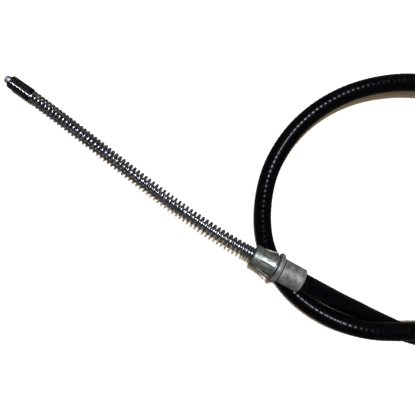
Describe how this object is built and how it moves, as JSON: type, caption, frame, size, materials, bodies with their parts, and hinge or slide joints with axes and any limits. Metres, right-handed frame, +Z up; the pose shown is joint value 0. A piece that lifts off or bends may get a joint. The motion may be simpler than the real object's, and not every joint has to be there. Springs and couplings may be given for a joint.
{
  "type": "parking brake cable",
  "caption": "Rear parking brake cable: a black sheathed conduit in a loop, a prong-lock fitting at each end, and a steel strand with a return spring, slotted sleeve and end button.",
  "frame": {"origin": "on the bench under the middle of the box that holds everything but the conduit", "axes": "+Z up, +X from the wheel end towards the loop, +Y towards the slotted sleeve's side"},
  "size_m": [0.3822, 0.1771, 0.0308],
  "materials": {
    "zinc_casting": "satin zinc-plated casting",
    "clip_steel": "bright zinc-plated sheet",
    "spring_wire": "bright plated wire",
    "strand_steel": "galvanised wire rope",
    "armour_steel": "plain flat wire",
    "button_steel": "swaged, satin",
    "jacket_plastic": "glossy black extruded sheath",
    "sleeve_plastic": "black moulded",
    "liner_plastic": "natural, low friction"
  },
  "bodies": {
    "conduit_and_fittings": {"wheel_fitting": "zinc_casting", "wheel_prong_clip": "clip_steel", "return_spring": "spring_wire", "conduit_jacket": "jacket_plastic", "conduit_armour": "armour_steel", "conduit_liner": "liner_plastic", "core_strand": "strand_steel", "lever_fitting": "zinc_casting", "lever_prong_clip": "clip_steel"},
    "wheel_strand": {"wheel_end_strand": "strand_steel", "slotted_sleeve": "sleeve_plastic", "wheel_end_button": "button_steel"},
    "lever_strand": {"lever_end_strand": "strand_steel", "lever_end_button": "button_steel"}
  },
  "joints": [
    {"name": "wheel_strand_slide", "type": "slide", "parent": "conduit_and_fittings", "child": "wheel_strand", "axis": [0.876, -0.4816, 0.0262], "range_m": [0, 0.02], "stiffness_N_per_m": 1000, "deforming": ["return_spring"]},
    {"name": "lever_strand_slide", "type": "slide", "parent": "conduit_and_fittings", "child": "lever_strand", "axis": [0, 1, 0], "range_m": [0, 0.02]}
  ],
  "couplings": [
    {"joint": "lever_strand_slide", "follows": "wheel_strand_slide", "ratio": 1}
  ]
}
